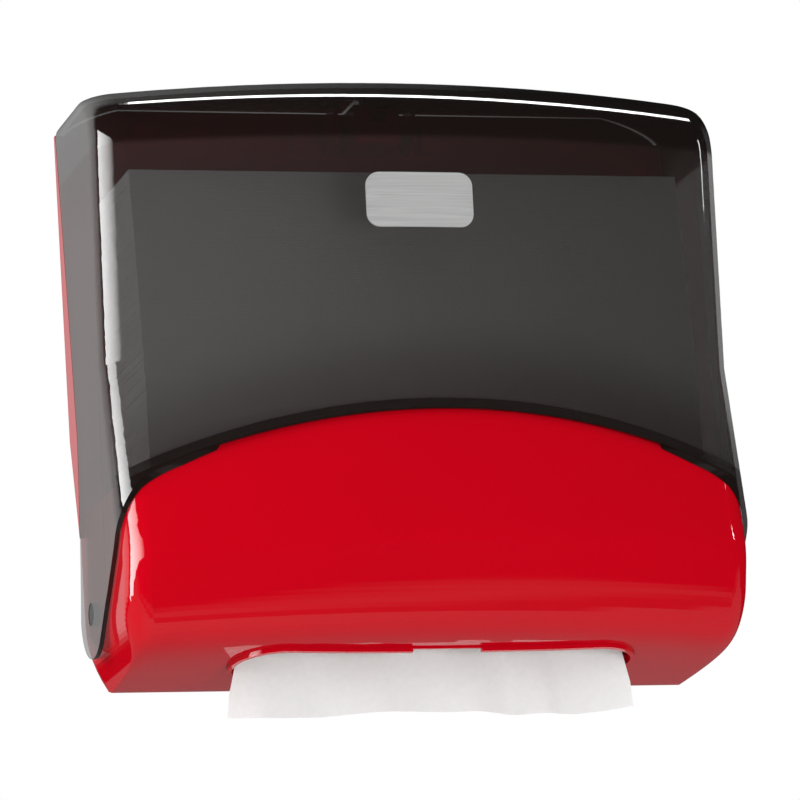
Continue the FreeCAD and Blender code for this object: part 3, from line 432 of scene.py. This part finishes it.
# A thin milky veil lies in the plastic of the face and fades towards the right as painted shade;
# the roll and the smile band are painted nearly black as shade, and the cut edges are nearly black
# too.
shade_and_edges = wall("MAXIMUM", wall_fade(smoke_z, crease_low, crease_high, 0.0, 1.0),
             wall("MAXIMUM", shade_band, rim))
veil_and_shade = wall("MULTIPLY", wall("SUBTRACT", 1.0, shade_and_edges),
            wall_fade(smoke_x, cover_left, cover_right, 1.0, veil_and_shade_at_right))
smoke_tone = smoke_tree.nodes.new("ShaderNodeMix")
smoke_tone.data_type = "RGBA"
smoke_tone.inputs["A"].default_value = shade_and_edges_plastic
smoke_tone.inputs["B"].default_value = face_plastic
smoke_tree.links.new(veil_and_shade, smoke_tone.inputs["Factor"])
smoke_tree.links.new(smoke_tone.outputs["Result"], smoke_surface.inputs["Base Color"])
dress(smoke, "cover")

# Badge: a plain metal plate, brushed from side to side and bent to the face of the cover.
# It is stuck to the cover's upper face and swings with it.
brush_stretch = (12, 900, 900)
plate_metallic, plate_roughness = 0.35, 0.35
plate, plate_tree, plate_surface = blank_finish("badge metal")
plate_surface.inputs["Metallic"].default_value = plate_metallic
plate_surface.inputs["Roughness"].default_value = plate_roughness
plate_stretch = plate_tree.nodes.new("ShaderNodeMapping")
plate_stretch.inputs["Scale"].default_value = brush_stretch
plate_tree.links.new(place_on(plate_tree), plate_stretch.inputs["Vector"])
plate_streak = noise(plate_tree, plate_stretch.outputs["Vector"], scale=1)
plate_tone = two_tones(plate_tree, plate_streak, (0.50, 0.50, 0.50), (0.80, 0.80, 0.80))
plate_tree.links.new(plate_tone, plate_surface.inputs["Base Color"])
dress(plate, "badge_plate")

# Pile: folded wipers of soft white paper, one slab per sheet, with their folds to the front.
# They lie loose on the tray and shift a little against each other, as a hand-loaded pile does.
layer_count = 210
depth_low, depth_belly, depth_top = 0.103, 0.108, 0.094
belly_share, lean_share, lean_curve = 0.35, 0.65, 1.6
front_slack, side_slack, back_slack = 0.00025, 0.0006, 0.0005
slab_share, fold_share, level_within = 0.985, 0.22, 1e-6
pile_low, pile_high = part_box("wiper_stack")
layer_height = (pile_high.z - pile_low.z) / layer_count
dice = random.Random(7)
pile_mesh = bmesh.new()
for layer in range(layer_count):
    share = (layer + 0.5) / layer_count
    if share < belly_share:
        depth = depth_low + (depth_belly - depth_low) * (1 - (1 - share / belly_share) ** 2)
    else:
        lean = ((share - belly_share) / lean_share) ** lean_curve
        depth = depth_belly - (depth_belly - depth_top) * lean
    depth -= dice.uniform(0.0, front_slack)
    half = pile_high.x - dice.uniform(0.0, side_slack)
    back = -pile_high.y + dice.uniform(0.0, back_slack)
    slab = bmesh.ops.create_cube(pile_mesh, size=1.0)["verts"]
    slab_size = (2 * half, depth - back, layer_height * slab_share)
    bmesh.ops.scale(pile_mesh, verts=slab, vec=slab_size)
    middle = Vector((0, -(depth + back) / 2, pile_low.z + layer_height * (layer + 0.5)))
    bmesh.ops.translate(pile_mesh, verts=slab, vec=middle)
    slab_edges = {e for v in slab for e in v.link_edges}
    rims = [e for e in slab_edges if abs((e.verts[0].co - e.verts[1].co).z) < level_within]
    bmesh.ops.bevel(pile_mesh, geom=rims, offset=layer_height * fold_share, segments=1,
                    profile=0.5, affect="EDGES", material=-1)
pile_data = bpy.data.meshes.new("wiper_pile")
pile_mesh.to_mesh(pile_data)
pile_mesh.free()
pile = bpy.data.objects.new("wiper_pile", pile_data)
scene.collection.objects.link(pile)
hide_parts("wiper_stack")
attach(pile, "base")

fibre_relief, fibre_depth = 0.25, 0.0004
paper_specular, paper_roughness = 0.15, 0.9
paper, paper_tree, paper_surface = blank_finish("wiper paper")
paper_surface.inputs["Specular IOR Level"].default_value = paper_specular
paper_surface.inputs["Roughness"].default_value = paper_roughness
paper_fibre = noise(paper_tree, place_on(paper_tree), scale=260, detail=6)
paper_tone = two_tones(paper_tree, paper_fibre, (0.86, 0.855, 0.85), (0.94, 0.94, 0.935))
paper_bump = paper_tree.nodes.new("ShaderNodeBump")
paper_bump.inputs["Strength"].default_value = fibre_relief
paper_bump.inputs["Distance"].default_value = fibre_depth
paper_tree.links.new(paper_fibre, paper_bump.inputs["Height"])
paper_tree.links.new(paper_tone, paper_surface.inputs["Base Color"])
paper_tree.links.new(paper_bump.outputs["Normal"], paper_surface.inputs["Normal"])
pile_data.materials.append(paper)

# Hanging wiper: the tail of the next sheet, the same soft paper, drawn by hand through the tray's
# slot and the mouth. It hangs in uneven upright folds that deepen towards its free edge.
# Each fold is its share of the width and its swing to the front or the back.
folds = (
    (0.17, 0.5), (0.13, -0.7), (0.15, 0.45), (0.12, -0.5),
    (0.1, 0.8), (0.07, -1.0), (0.08, 0.9), (0.18, -0.6),
)
tail_half, tail_y = 0.1312, -0.072
waist, waist_end = 0.003, 0.8
flare, flare_start, flare_run = 0.0055, 0.45, 0.55
fold_least, fold_most, fold_curve = 0.0006, 0.0045, 1.5
curl_depth, curl_start, curl_run = 0.010, 0.90, 0.10
curl_phase, curl_turn = 0.15, 0.75
hem_wave, hem_turn, hem_phase = 0.0016, 9.0, 0.6
hem_droop, droop_start, droop_run = 0.0022, 0.86, 0.14
ripple, ripple_turn = 0.0003, 61
sheet_low, sheet_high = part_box("wiper_sheet")
tail_mesh = bmesh.new()
bmesh.ops.create_grid(tail_mesh, x_segments=160, y_segments=40, size=0.5)


def fold_at(across):
    start = 0.0
    for share, swing in folds:
        if across <= start + share or (share, swing) == folds[-1]:
            break
        start += share
    return swing * math.sin(math.pi * min(1.0, max(0.0, (across - start) / share)))


for corner in tail_mesh.verts:
    across = corner.co.x + 0.5
    down = 0.5 - corner.co.y
    drawn_in = waist * math.sin(math.pi * min(1.0, down / waist_end))
    half = tail_half - drawn_in + flare * max(0.0, down - flare_start) / flare_run
    deep = fold_least + fold_most * down ** fold_curve
    curled = max(0.0, (across - curl_start) / curl_run) ** 2 * curl_depth
    curl = curled * math.sin(math.pi * min(1.0, curl_phase + down * curl_turn))
    hem = hem_wave * math.sin(across * hem_turn + hem_phase)
    hem -= hem_droop * max(0.0, (across - droop_start) / droop_run)
    corner.co = Vector((
        (across * 2 - 1) * half,
        tail_y - curl - deep * fold_at(across) + ripple * math.sin(across * ripple_turn) * down,
        sheet_high.z + (sheet_low.z - sheet_high.z) * down - hem * down,
    ))
tail_data = bpy.data.meshes.new("wiper_tail")
tail_mesh.to_mesh(tail_data)
tail_mesh.free()
for face in tail_data.polygons:
    face.use_smooth = True
tail = bpy.data.objects.new("wiper_tail", tail_data)
scene.collection.objects.link(tail)
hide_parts("wiper_sheet")
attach(tail, "base")
tail_data.materials.append(paper)
